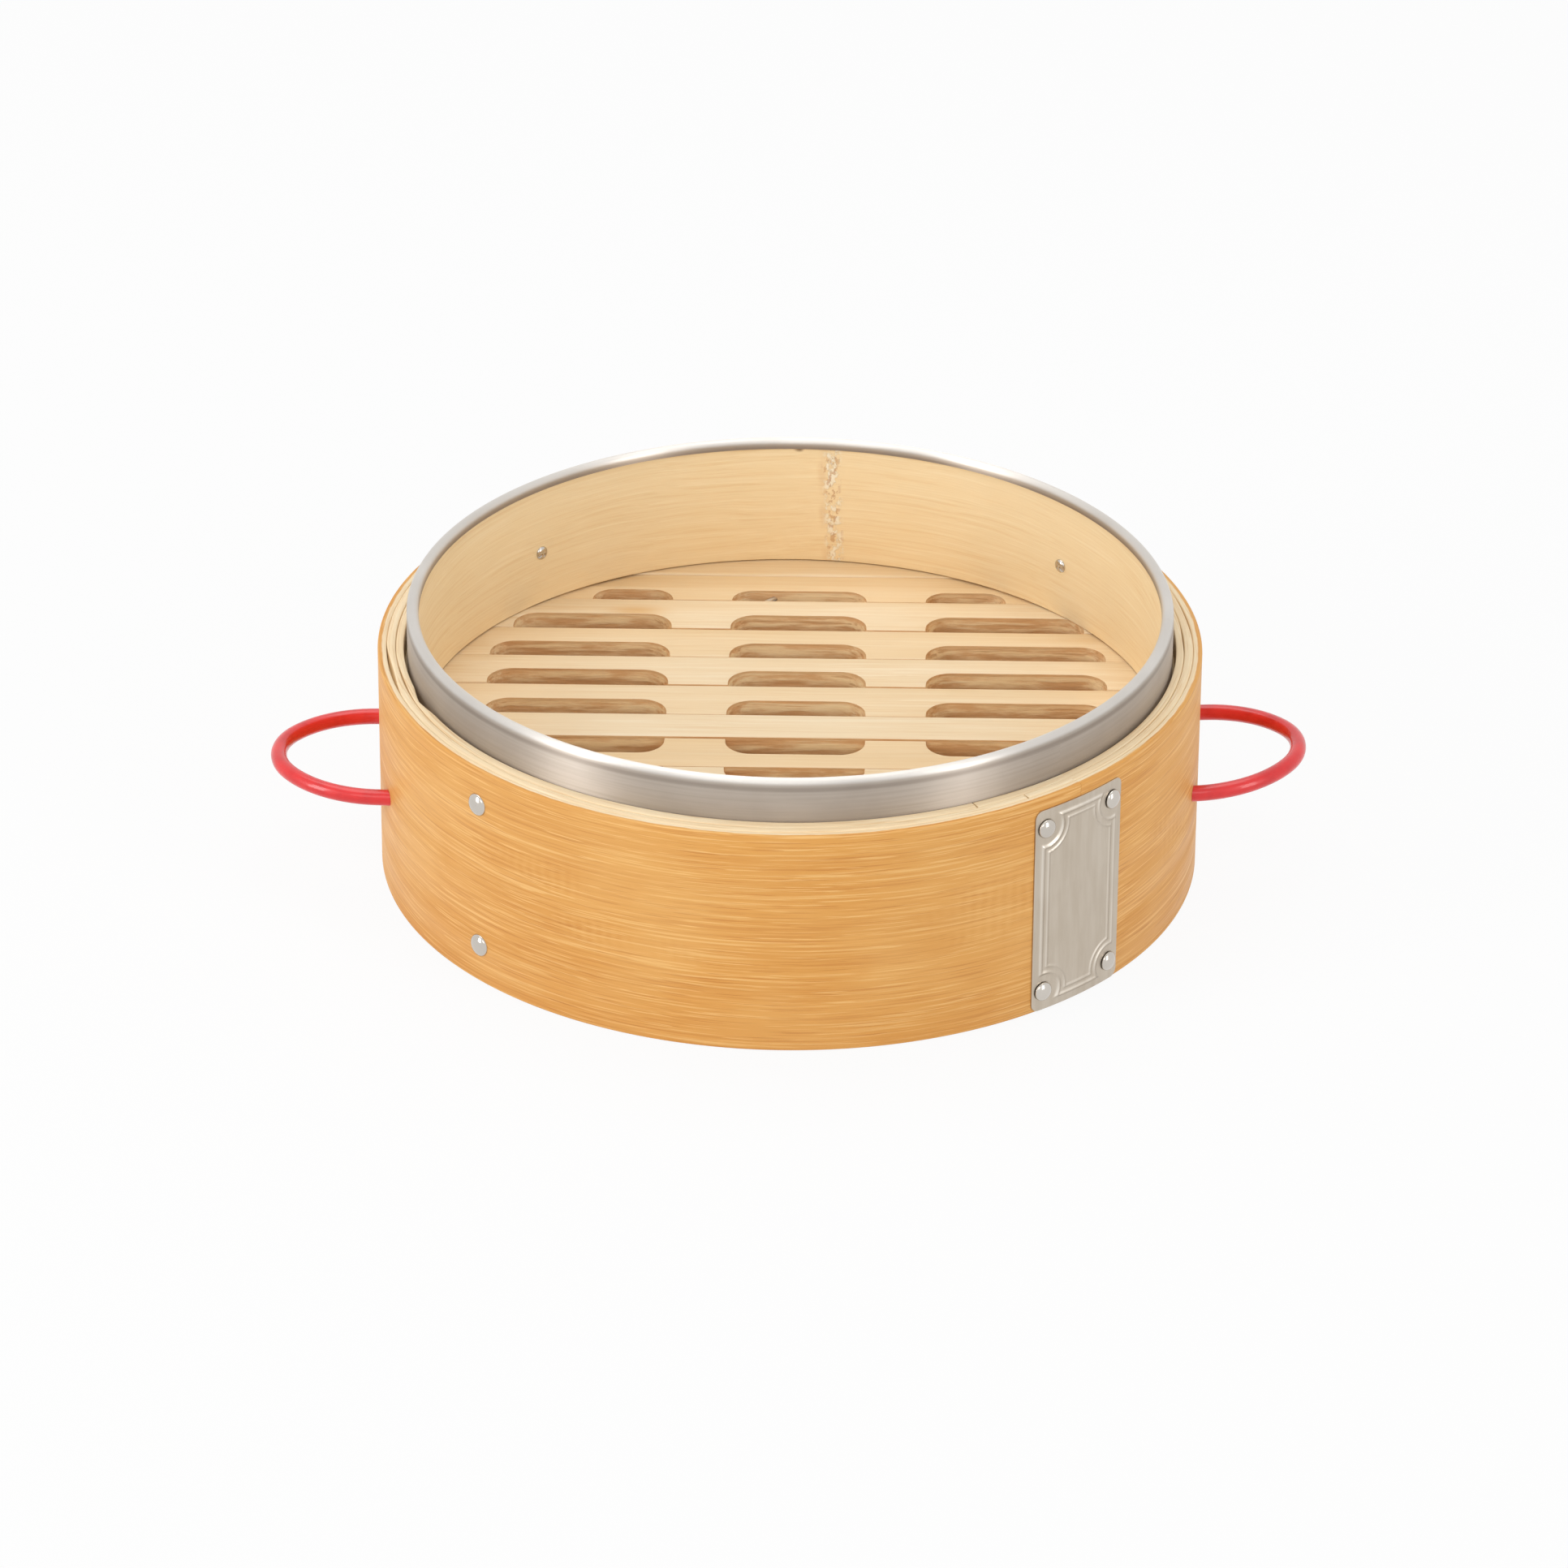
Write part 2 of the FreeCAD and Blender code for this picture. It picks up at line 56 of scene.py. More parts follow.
# %% Camera
camera_place = Vector((0.022155, -1.91990, 1.04924))
pitch, yaw, roll = 0.491719, -0.012309, 0.006637
ahead = Vector((math.sin(yaw) * math.cos(pitch), math.cos(yaw) * math.cos(pitch), -math.sin(pitch)))
level_right = ahead.cross(Vector((0, 0, 1))).normalized()
level_up = level_right.cross(ahead)
right = math.cos(roll) * level_right + math.sin(roll) * level_up
up = math.cos(roll) * level_up - math.sin(roll) * level_right
eye = bpy.data.cameras.new("basket_camera")
eye.lens, eye.sensor_width = 169.9, 36.0
camera = bpy.data.objects.new("basket_camera", eye)
turn = Matrix((right, up, -ahead)).transposed()
camera.matrix_world = Matrix.Translation(camera_place) @ turn.to_4x4()
bpy.context.scene.collection.objects.link(camera)
bpy.context.scene.camera = camera
bpy.context.scene.view_settings.view_transform = "Standard"
print("camera at", [round(c, 3) for c in camera_place])


# %% A short way to write shader nodes
def add_node(tree, kind, inputs=None, **settings):
    """Adds a node. An input may be a number, a colour or another node's output."""
    made = tree.nodes.new("ShaderNode" + kind)
    for key, value in settings.items():
        setattr(made, key, value)
    for key, value in (inputs or {}).items():
        if isinstance(value, bpy.types.NodeSocket):
            tree.links.new(value, made.inputs[key])
        else:
            made.inputs[key].default_value = value
    return made.outputs[0] if made.outputs else None


def maths(tree, operation, a, b=0.0, clamp=False):
    return add_node(tree, "Math", {0: a, 1: b}, operation=operation, use_clamp=clamp)


def seen_directly(tree):
    """1 for what the camera sees, straight or in a reflection, and 0 for light on the basket."""
    ray = tree.nodes.new("ShaderNodeLightPath")
    straight = maths(tree, "MAXIMUM", ray.outputs["Is Camera Ray"], ray.outputs["Is Glossy Ray"])
    return maths(tree, "MAXIMUM", straight, ray.outputs["Is Transmission Ray"])


# %% World
AMBIENT = 0.50
world = bpy.data.worlds.new("white_studio")
bpy.context.scene.world = world
world.use_nodes = True
sky = world.node_tree
sky.nodes.clear()
level = add_node(sky, "MapRange", {"Value": seen_directly(sky), "To Min": AMBIENT, "To Max": 1.0})
light = add_node(sky, "Background", {"Color": (1, 1, 1, 1), "Strength": level})
add_node(sky, "OutputWorld", {"Surface": light})
print("world level", AMBIENT)

# %% Floor
floor_bm = bmesh.new()
bmesh.ops.create_circle(floor_bm, cap_ends=True, segments=96, radius=6.0,
                        matrix=Matrix.Translation((0, 0, -0.0002)))
floor_mesh = bpy.data.meshes.new("studio_floor")
floor_bm.to_mesh(floor_mesh)
floor_bm.free()
studio_floor = bpy.data.objects.new("studio_floor", floor_mesh)
bpy.context.scene.collection.objects.link(studio_floor)
floor_finish = bpy.data.materials.new("studio_floor")
floor_finish.use_nodes = True
tree = floor_finish.node_tree
tree.nodes.clear()
matt = add_node(tree, "BsdfDiffuse", {"Color": (0.8, 0.8, 0.8, 1)})
glow = add_node(tree, "Emission", {"Color": (1, 1, 1, 1), "Strength": 1.0})
FLOOR_WHITE = 0.92
amount = maths(tree, "MULTIPLY", seen_directly(tree), FLOOR_WHITE)
add_node(tree, "OutputMaterial", {"Surface": add_node(tree, "MixShader", {0: amount, 1: matt, 2: glow})})
floor_mesh.materials.append(floor_finish)


# %% Lamps
def panel(name, azimuth, distance, height, size, watts):
    """A soft panel at an azimuth, that faces the middle of the basket."""
    lamp = bpy.data.lights.new(name, "AREA")
    lamp.shape, lamp.size, lamp.size_y, lamp.energy = "RECTANGLE", size[0], size[1], watts
    angle = math.radians(azimuth)
    place = Vector((distance * math.cos(angle), distance * math.sin(angle), height))
    held = bpy.data.objects.new(name, lamp)
    held.matrix_world = Matrix.Translation(place) @ (
        (place - Vector((0, 0, 0.05))).to_track_quat("Z", "Y").to_matrix().to_4x4())
    bpy.context.scene.collection.objects.link(held)


panel("overhead_panel", 110, 0.45, 1.7, (1.3, 1.3), 9.4)
panel("front_panel", -100, 1.7, 1.3, (1.2, 0.9), 4.4)
panel("left_panel", -152, 1.4, 0.55, (0.44, 1.0), 7.6)
panel("right_panel", -40, 1.4, 0.55, (0.38, 1.0), 5.0)

# %% [markdown]
# ## Finishes: bamboo
# Bamboo is a bundle of straight fibres, so its pattern is long thin streaks along the strip.
# A printed wood pattern could be wrapped on, but noise that is stretched along the strip never
# repeats. On a bent strip "along" is the way round, so the angle about the
# Z axis, times the radius, becomes the first coordinate. The angle jumps at one azimuth, and
# that jump is turned to the seam under the plate.

# %% Coordinates along the fibres
SEAM_AZIMUTH = -46.2
HOOP_RADIUS = 0.12


def vector(tree, x, y, z):
    return add_node(tree, "CombineXYZ", {0: x, 1: y, 2: z})


def split(tree, source):
    made = tree.nodes.new("ShaderNodeSeparateXYZ")
    tree.links.new(source, made.inputs[0])
    return made.outputs[0], made.outputs[1], made.outputs[2]


def place_on(tree, turned=0.0):
    """The place on the piece, turned about Z by some degrees."""
    coordinates = tree.nodes.new("ShaderNodeTexCoord").outputs["Object"]
    return add_node(tree, "Mapping", {"Vector": coordinates, "Rotation": (0, 0, math.radians(turned))})


def round_the_hoop(tree, turned=180 - SEAM_AZIMUTH):
    """Way round, radius and height of a place on a hoop, in metres."""
    x, y, z = split(tree, place_on(tree, turned))
    angle = maths(tree, "ARCTAN2", y, x)
    squares = maths(tree, "MULTIPLY", x, x), maths(tree, "MULTIPLY", y, y)
    radius = maths(tree, "SQRT", maths(tree, "ADD", *squares))
    return maths(tree, "MULTIPLY", angle, HOOP_RADIUS), radius, z


def stretched(tree, base, scale):
    return add_node(tree, "VectorMath", {0: base, 1: scale}, operation="MULTIPLY")


def noise(tree, base, scale, detail=3.0, rough=0.55, seed=0.0):
    """Noise whose size differs along the three directions. scale is features per metre."""
    return add_node(tree, "TexNoise", {"Vector": stretched(tree, base, scale), "W": seed, "Scale": 1.0,
                                       "Detail": detail, "Roughness": rough}, noise_dimensions="4D")


def between(tree, value, low, high, to_low=0.0, to_high=1.0, smooth=True):
    """Maps low to high onto to_low to to_high, and stops at both ends."""
    limits = {"Value": value, "From Min": low, "From Max": high, "To Min": to_low, "To Max": to_high}
    return add_node(tree, "MapRange", limits, interpolation_type="SMOOTHSTEP" if smooth else "LINEAR")


def blended(tree, amount, a, b):
    """Mixes two colours by an amount from 0 to 1."""
    made = tree.nodes.new("ShaderNodeMix")
    made.data_type = "RGBA"
    for socket, value in zip((made.inputs[0], made.inputs[6], made.inputs[7]), (amount, a, b)):
        if isinstance(value, bpy.types.NodeSocket):
            tree.links.new(value, socket)
        else:
            socket.default_value = value
    return made.outputs[2]


def shade(red, green, blue):
    """A colour given in the usual 0 to 255 steps, as a shader wants it."""
    steps = [c / 255 for c in (red, green, blue)]
    return (*[c / 12.92 if c <= 0.04045 else ((c + 0.055) / 1.055) ** 2.4 for c in steps], 1)


def new_finish(name, **values):
    """An empty finish with one shader. The values are set on the shader's own sockets."""
    finish = bpy.data.materials.new(name)
    finish.use_nodes = True
    grown = finish.node_tree
    grown.nodes.clear()
    shader = grown.nodes.new("ShaderNodeBsdfPrincipled")
    output = grown.nodes.new("ShaderNodeOutputMaterial")
    grown.links.new(shader.outputs[0], output.inputs[0])
    for key, value in values.items():
        shader.inputs[key.replace("_", " ")].default_value = value
    return finish, grown, shader


def finish_with(tree, shader, colour, roughness=None, height=None, depth=0.0002, strength=0.5):
    """Links colour, roughness and bump to the shader."""
    tree.links.new(colour, shader.inputs["Base Color"])
    if roughness is not None:
        tree.links.new(roughness, shader.inputs["Roughness"])
    if height is not None:
        bump = add_node(tree, "Bump", {"Strength": strength, "Distance": depth, "Height": height})
        tree.links.new(bump, shader.inputs["Normal"])


# %% Fibres
def fibres(tree, base, tones, seed=0.0, wave=0.0012, crisp=1.0):
    """Colour and height of bamboo whose fibres run along the first coordinate of base."""
    drift = maths(tree, "SUBTRACT", noise(tree, base, (9, 25, 25), 2, 0.5, seed), 0.5)
    shift = maths(tree, "MULTIPLY", drift, wave * 2)
    bent = add_node(tree, "VectorMath", {0: base, 1: vector(tree, 0.0, shift, shift)}, operation="ADD")
    fine = noise(tree, bent, (18, 900, 1150), 4, 0.65, seed)
    dark_hairs = noise(tree, bent, (40, 1900, 2300), 2, 0.5, seed)
    light_hairs = noise(tree, bent, (55, 1900, 2500), 2, 0.5, maths(tree, "ADD", seed, 3.7))
    broad = noise(tree, bent, (6, 110, 160), 3, 0.5, seed)
    cloud = noise(tree, base, (22, 30, 30), 2, 0.5, seed)
    light_tone, mid_tone, dark_tone = tones
    colour = blended(tree, between(tree, fine, 0.36, 0.48, 0.50, 1.0), dark_tone, mid_tone)
    colour = blended(tree, between(tree, fine, 0.52, 0.64, 0.0, 0.8), colour, light_tone)
    colour = blended(tree, between(tree, broad, 0.40, 0.62, 0.0, 0.18 * crisp), colour, dark_tone)
    colour = blended(tree, between(tree, dark_hairs, 0.58, 0.66, 0.0, 0.75 * crisp), colour, dark_tone)
    colour = blended(tree, between(tree, light_hairs, 0.59, 0.67, 0.0, 0.85 * crisp), colour, light_tone)
    colour = blended(tree, between(tree, cloud, 0.35, 0.7, 0.0, 0.30), colour, light_tone)
    height = maths(tree, "ADD", fine, maths(tree, "MULTIPLY", dark_hairs, -0.7))
    return colour, height, broad, cloud


# %% [markdown]
# ### The outer hoop
# The outer strip keeps the skin of the cane, stained to a warm caramel. The stain goes in about
# a millimetre, so the cut top edge is orange only at its outer rim and pale behind it. The
# colour is chosen by the radius. A faint comb of cross marks, left by the rollers that bent the
# strip, shows in patches at mid height.

# %% Caramel bamboo
PALE = (shade(255, 238, 204), shade(252, 228, 188), shade(232, 196, 146))
CARAMEL = (shade(245, 195, 122), shade(226, 162, 81), shade(200, 128, 54))
caramel_bamboo, tree, shader = new_finish("caramel_bamboo", Roughness=0.5, Specular_IOR_Level=0.35)
way, radius, height_z = round_the_hoop(tree)
base = vector(tree, way, radius, height_z)
skin, relief, broad, cloud = fibres(tree, base, CARAMEL)
core, _, _, _ = fibres(tree, base, PALE, 3.0)
ragged = maths(tree, "SUBTRACT", noise(tree, base, (150, 900, 900), 2), 0.5)
ragged = maths(tree, "MULTIPLY", ragged, 0.0008)
stained = between(tree, maths(tree, "ADD", radius, ragged), 0.1186, 0.1190)
COMB_STEP = 0.0033
comb_way = maths(tree, "ADD", way, maths(tree, "MULTIPLY", noise(tree, base, (60, 60, 500), 2), 0.004))
comb = maths(tree, "SINE", maths(tree, "MULTIPLY", comb_way, 2 * math.pi / COMB_STEP))
COMB_Z = 0.036
from_middle = maths(tree, "ABSOLUTE", maths(tree, "SUBTRACT", height_z, COMB_Z))
patch = maths(tree, "MULTIPLY", between(tree, noise(tree, base, (25, 30, 60), 2, 0.5, 5.0), 0.48, 0.62),
              between(tree, from_middle, 0.004, 0.017, 1.0, 0.0))
marks = maths(tree, "MULTIPLY", maths(tree, "MULTIPLY", comb, patch), 0.09)
skin = blended(tree, maths(tree, "ADD", marks, 0.06, True), skin, CARAMEL[0])
colour = blended(tree, stained, core, skin)
gloss = between(tree, broad, 0.3, 0.7, 0.42, 0.58)
relief = maths(tree, "ADD", relief, maths(tree, "MULTIPLY", marks, 1.5))
finish_with(tree, shader, colour, gloss, relief, 0.00012, 0.5)


# %% [markdown]
# ### Pale bamboo
# The middle hoop, the liner and the hidden hoops are peeled strips without skin: pale, straw
# coloured, with finer streaks and a duller surface.

# %% Pale bamboo
pale_bamboo, tree, shader = new_finish("pale_bamboo", Roughness=0.6, Specular_IOR_Level=0.3)
base = vector(tree, *round_the_hoop(tree))
colour, relief, broad, cloud = fibres(tree, base, PALE, 7.0)
finish_with(tree, shader, colour, between(tree, cloud, 0.3, 0.7, 0.52, 0.68), relief, 0.00015, 0.5)

# %% [markdown]
# ### The collar
# The collar shows its inner face above the floor. Its fibres are faint, and one node of the
# cane crosses it from top to bottom at the back: a narrow crumbled line of light chips and dark
# specks. The node is drawn by the distance from its azimuth, broken up by noise. Beside it runs
# a broken line of painted shade, where the node's ridge would shade the wall.

# %% Collar bamboo
NODE_AZIMUTH = 84.0
COLLAR = (shade(255, 234, 194), shade(250, 226, 182), shade(240, 208, 158))
collar_bamboo, tree, shader = new_finish("collar_bamboo", Roughness=0.55, Specular_IOR_Level=0.3)
base = vector(tree, *round_the_hoop(tree))
colour, relief, broad, cloud = fibres(tree, base, COLLAR, 11.0, 0.006, 0.45)
way, radius, height_z = round_the_hoop(tree, -NODE_AZIMUTH)
near_node = vector(tree, way, radius, height_z)
jitter = maths(tree, "SUBTRACT", noise(tree, near_node, (40, 40, 110), 3), 0.5)
jitter = maths(tree, "MULTIPLY", jitter, 0.0048)
lean = maths(tree, "MULTIPLY", maths(tree, "SUBTRACT", height_z, 0.060), 0.05)
off = maths(tree, "SUBTRACT", maths(tree, "ADD", way, jitter), lean)
side = maths(tree, "ABSOLUTE", off)
band = between(tree, side, 0.0012, 0.0038, 1.0, 0.0)
chips = between(tree, noise(tree, near_node, (420, 420, 330), 4, 0.65, 2.0), 0.49, 0.56)
specks = between(tree, noise(tree, near_node, (560, 560, 420), 3, 0.6, 4.0), 0.53, 0.60)
# A broken line of painted shade runs beside the node, where its ridge would shade the wall.
painted_relief_shading = maths(tree, "ABSOLUTE", maths(tree, "SUBTRACT", off, 0.0030))
painted_relief_shading = between(tree, painted_relief_shading, 0.0003, 0.0022, 0.30, 0.0)
broken = between(tree, noise(tree, near_node, (30, 30, 90), 2, 0.5, 6.0), 0.40, 0.56)
painted_relief_shading = maths(tree, "MULTIPLY", painted_relief_shading, broken)
colour = blended(tree, painted_relief_shading, colour, shade(222, 178, 128))
for flecks, strength, tone in ((chips, 0.85, shade(255, 246, 224)), (specks, 0.60, shade(196, 144, 96))):
    amount = maths(tree, "MULTIPLY", band, maths(tree, "MULTIPLY", flecks, strength))
    colour = blended(tree, amount, colour, tone)
KNOT_PLACE = (0.0013, 0.1084, 0.0780)
knot = add_node(tree, "VectorMath", {0: place_on(tree), 1: KNOT_PLACE}, operation="SUBTRACT")
knot = add_node(tree, "VectorMath", {0: stretched(tree, knot, (1.0, 0.2, 1.6))}, operation="LENGTH")
knot_length = tree.nodes[-1].outputs["Value"]
blot = between(tree, maths(tree, "ADD", knot_length, jitter), 0.0006, 0.0024, 0.75, 0.0)
colour = blended(tree, blot, colour, shade(120, 76, 44))
raised = maths(tree, "ADD", relief, maths(tree, "MULTIPLY", band, maths(tree, "MULTIPLY", chips, 3.0)))
finish_with(tree, shader, colour, between(tree, cloud, 0.3, 0.7, 0.48, 0.62), raised, 0.00015, 0.55)

# %% [markdown]
# ### The slats
# The slats are planed flat, with the fibres along X. Each is cut from another cane, so a value
# named "plank" on each mesh shifts its pattern and its tone. The sides and the routed slots are
# rough, torn and darker, so those faces get a finish of their own.

# %% Slat bamboo and its routed sides
SLAT = (shade(251, 234, 204), shade(244, 221, 184), shade(232, 200, 154))
STAIN_PLACE = (-0.0470, 0.0732, 0.0405)
slat_bamboo, tree, shader = new_finish("slat_bamboo", Roughness=0.55, Specular_IOR_Level=0.3)
plank_value = add_node(tree, "Attribute", attribute_name="plank")
plank_value = tree.nodes[-1].outputs["Fac"]
base = place_on(tree)
seed = maths(tree, "MULTIPLY", plank_value, 23.0)
colour, relief, broad, cloud = fibres(tree, base, SLAT, seed, 0.0016, 0.45)
warm = between(tree, plank_value, 0.0, 1.0, 0.0, 0.50, False)
colour = blended(tree, warm, colour, shade(238, 200, 144))
stain = add_node(tree, "VectorMath", {0: base, 1: STAIN_PLACE}, operation="SUBTRACT")
add_node(tree, "VectorMath", {0: stretched(tree, stain, (0.45, 1.0, 0.0))}, operation="LENGTH")
stain_length = tree.nodes[-1].outputs["Value"]
stain_length = maths(tree, "ADD", stain_length, maths(tree, "MULTIPLY", broad, 0.002))
stain = between(tree, stain_length, 0.001, 0.007, 0.55, 0.0)
colour = blended(tree, stain, colour, shade(222, 166, 84))
finish_with(tree, shader, colour, between(tree, cloud, 0.3, 0.7, 0.5, 0.65), relief, 0.00015, 0.5)

routed_bamboo, tree, shader = new_finish("routed_bamboo", Roughness=0.75, Specular_IOR_Level=0.2)
plank_value = add_node(tree, "Attribute", attribute_name="plank")
plank_value = tree.nodes[-1].outputs["Fac"]
base = place_on(tree)
seed = maths(tree, "MULTIPLY", plank_value, 17.0)
torn = noise(tree, base, (70, 300, 420), 4, 0.6, seed)
long_fibre = noise(tree, base, (30, 500, 800), 3, 0.6, seed)
height_z = split(tree, base)[2]
ragged = maths(tree, "MULTIPLY", maths(tree, "SUBTRACT", torn, 0.5), 0.0035)
ragged = maths(tree, "ADD", height_z, ragged)
colour = blended(tree, between(tree, torn, 0.38, 0.60), shade(228, 180, 128), shade(252, 220, 170))
colour = blended(tree, between(tree, long_fibre, 0.54, 0.66, 0.0, 0.7), colour, shade(255, 230, 184))
colour = blended(tree, between(tree, long_fibre, 0.36, 0.46, 0.6, 0.0), colour, shade(200, 146, 96))
# The foot of the slot walls and plank sides is darker: painted shade deep in the slots.
colour = blended(tree, between(tree, ragged, 0.0350, 0.0378, 0.6, 0.0), colour, shade(202, 148, 98))
colour = blended(tree, between(tree, ragged, 0.0390, 0.0402, 0.0, 0.55), colour, shade(196, 144, 94))
rough_height = maths(tree, "ADD", torn, maths(tree, "MULTIPLY", long_fibre, 0.4))
finish_with(tree, shader, colour, None, rough_height, 0.0009, 0.7)

batten_bamboo, tree, shader = new_finish("batten_bamboo", Roughness=0.6, Specular_IOR_Level=0.3)
turned_place = place_on(tree, 90)
colour, relief, broad, cloud = fibres(tree, turned_place, PALE, 31.0)
finish_with(tree, shader, colour, between(tree, cloud, 0.3, 0.7, 0.52, 0.68), relief, 0.00015, 0.5)
print("bamboo finishes:", [m.name for m in bpy.data.materials if "bamboo" in m.name])

# %% [markdown]
# ## Finishes: steel and plastic
# The rim is rolled from brushed sheet: the brush marks run round it, so a lamp is drawn out
# into an upright band. Anisotropic reflection does that, with the tangent round the Z axis. The
# plate is satin and a little warmer, and the rivets are smoother and brighter. Small scratches
# and smudges come from noise in the roughness. The sleeves are glossy red plastic.

# %% Steel
def steel(name, colour, roughness, marks, worn_tone=(150, 132, 112), wear=0.16, brushed=0.0):
    """Bare steel. marks gives how fine the brush marks are along the way round, radius and height."""
    turned_by = dict(Anisotropic=brushed, Anisotropic_Rotation=0.25) if brushed else {}
    finish, grown, metal = new_finish(name, Metallic=1.0, **turned_by)
    way, radius, height_z = round_the_hoop(grown)
    spot = vector(grown, way, radius, height_z)
    lines = noise(grown, spot, marks, 3, 0.6)
    smudge = noise(grown, spot, (45, 45, 60), 3, 0.55, 9.0)
    tone = blended(grown, between(grown, lines, 0.3, 0.7, 0.0, 0.16), colour, shade(235, 228, 218))
    tone = blended(grown, between(grown, smudge, 0.35, 0.75, 0.0, wear), tone, shade(*worn_tone))
    if brushed:
        # Painted shade darkens the fold under the bead, and a painted highlight brightens the bead's
        # top.
        painted_fold_shade = maths(grown, "ABSOLUTE", maths(grown, "SUBTRACT", height_z, 0.0786))
        tone = blended(grown, between(grown, painted_fold_shade, 0.0002, 0.0012, 0.40, 0.0), tone, shade(120, 108, 98))
        top = between(grown, height_z, 0.0796, 0.0808, 0.0, 0.6)
        tone = blended(grown, top, tone, shade(240, 237, 232))
        tangent = add_node(grown, "Tangent", direction_type="RADIAL", axis="Z")
        grown.links.new(tangent, metal.inputs["Tangent"])
    if name == "plate_steel":
        # Painted light on the border: the stored slope lightens one side of each ridge (painted
        # highlight) and darkens the other (painted shade).
        add_node(grown, "Attribute", attribute_name="painted_slope_shading")
        painted_relief_shading = grown.nodes[-1].outputs["Fac"]
        tone = blended(grown, between(grown, painted_relief_shading, 0.5, 1.0, 0.0, 0.75), tone, shade(240, 234, 224))
        tone = blended(grown, between(grown, painted_relief_shading, 0.0, 0.5, 0.70, 0.0), tone, shade(122, 108, 92))
    worn = maths(grown, "ADD", between(grown, lines, 0.3, 0.7, roughness - 0.03, roughness + 0.04),
                 between(grown, smudge, 0.3, 0.7, -0.03, 0.04))
    finish_with(grown, metal, tone, worn, lines, 0.00001, 0.2)
    return finish


rim_steel = steel("rim_steel", shade(180, 170, 160), 0.44, (20, 60, 1300), (156, 138, 120), 0.14, 0.9)
plate_steel = steel("plate_steel", shade(190, 178, 162), 0.36, (500, 500, 60), (168, 154, 136), 0.2)
rivet_steel = steel("rivet_steel", shade(200, 194, 186), 0.15, (90, 90, 90))
nail_steel = steel("nail_steel", shade(214, 210, 204), 0.30, (300, 300, 300))
wire_steel = steel("wire_steel", shade(186, 182, 176), 0.28, (300, 300, 300))

# %% Red plastic
red_sleeve, tree, shader = new_finish("red_sleeve", Roughness=0.32, Coat_Weight=0.5, Coat_Roughness=0.08)
base = place_on(tree)
ripple = noise(tree, base, (160, 160, 160), 3, 0.5)
colour = blended(tree, between(tree, ripple, 0.35, 0.65), shade(212, 16, 22), shade(228, 32, 34))
finish_with(tree, shader, colour, between(tree, ripple, 0.3, 0.7, 0.27, 0.37), ripple, 0.00006, 0.4)


# %% [markdown]
# ## Hoops
# Every hoop is a strip bent to a ring. Its cross-section is drawn once as a flat face, the
# corners are rounded with a bevel, and the face is spun about Z. The strip's two ends leave a
# narrow seam, so the spin stops short of a full turn. Real plies don't lie tight all the way
# round: small bumps in the radius open the thin dark gaps that show on the ledge.

# %% Helpers for pieces
def as_piece(bm, name, finishes, replaced, crease=35):
    """Makes the object, shades it smooth up to a crease angle, and puts it in the frame."""
    for face in bm.faces:
        face.smooth = True
    for edge in bm.edges:
        edge.smooth = edge.calc_face_angle(0.0) < math.radians(crease)
    mesh = bpy.data.meshes.new(name)
    bm.to_mesh(mesh)
    bm.free()
    for finish in finishes:
        mesh.materials.append(finish)
    piece = bpy.data.objects.new(name, mesh)
    bpy.context.scene.collection.objects.link(piece)
    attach(piece, "root")
    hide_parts(*replaced)
    print(name, "faces:", len(mesh.polygons))
    return piece


def tidy_shell(bm, merge=0.000002):
    bmesh.ops.remove_doubles(bm, verts=bm.verts, dist=merge)
    bmesh.ops.recalc_face_normals(bm, faces=bm.faces)


def spun_ring(corners, roundings, steps=240, seam=None, gap=0.0005, segments=3):
    """Spins an outline of (radius, height) corners in mm. roundings is {corner: radius in mm}."""
    bm = bmesh.new()
    outline = [bm.verts.new((r * MM, 0, z * MM)) for r, z in corners]
    bm.faces.new(outline)
    for size in sorted(set(roundings.values())):
        chosen = [outline[i] for i in roundings if roundings[i] == size]
        bmesh.ops.bevel(bm, geom=chosen, offset=size * MM, offset_type="OFFSET", segments=segments,
                        profile=0.5, affect="VERTICES", material=-1)
    axis = dict(cent=(0, 0, 0), axis=(0, 0, 1), steps=steps, use_duplicate=False)
    if seam is None:
        bmesh.ops.delete(bm, geom=bm.faces[:], context="FACES_ONLY")
        bmesh.ops.spin(bm, geom=bm.verts[:] + bm.edges[:], angle=2 * math.pi, use_merge=True, **axis)
    else:
        half = gap / (corners[0][0] * MM) / 2
        to_seam = Matrix.Rotation(math.radians(seam) + half, 3, "Z")
        bmesh.ops.rotate(bm, verts=bm.verts, cent=(0, 0, 0), matrix=to_seam)
        bmesh.ops.spin(bm, geom=bm.verts[:] + bm.edges[:] + bm.faces[:], angle=2 * math.pi - 2 * half,
                       use_merge=False, **axis)
    tidy_shell(bm)
    return bm


def bump_at(azimuth, middle, half_width):
    """1 at the middle azimuth, falling smoothly to 0 at half_width degrees from it."""
    away = (azimuth - middle + 180) % 360 - 180
    return max(0.0, 1 - (away / half_width) ** 2) ** 2


def push_radius(bm, amount):
    """Moves each vertex outwards by amount(azimuth, radius, height), all in degrees and mm."""
    for v in bm.verts:
        r = math.hypot(v.co.x, v.co.y)
        azimuth = math.degrees(math.atan2(v.co.y, v.co.x))
        factor = 1 + amount(azimuth, r / MM, v.co.z / MM) * MM / r
        v.co.x *= factor
        v.co.y *= factor


def ledge_dip(bm, top_z, seed):
    """Lets the top edge run slightly uneven, never above top_z."""
    for v in bm.verts:
        if v.co.z / MM > top_z - 1:
            a = math.atan2(v.co.y, v.co.x)
            v.co.z -= MM * (0.12 + 0.07 * math.sin(3 * a + seed) + 0.05 * math.sin(8 * a + 2 * seed))


# %% Outer hoop
OUTER_R = 120.0
WALL_TOP = 68.7
FADE_Z = 62.4


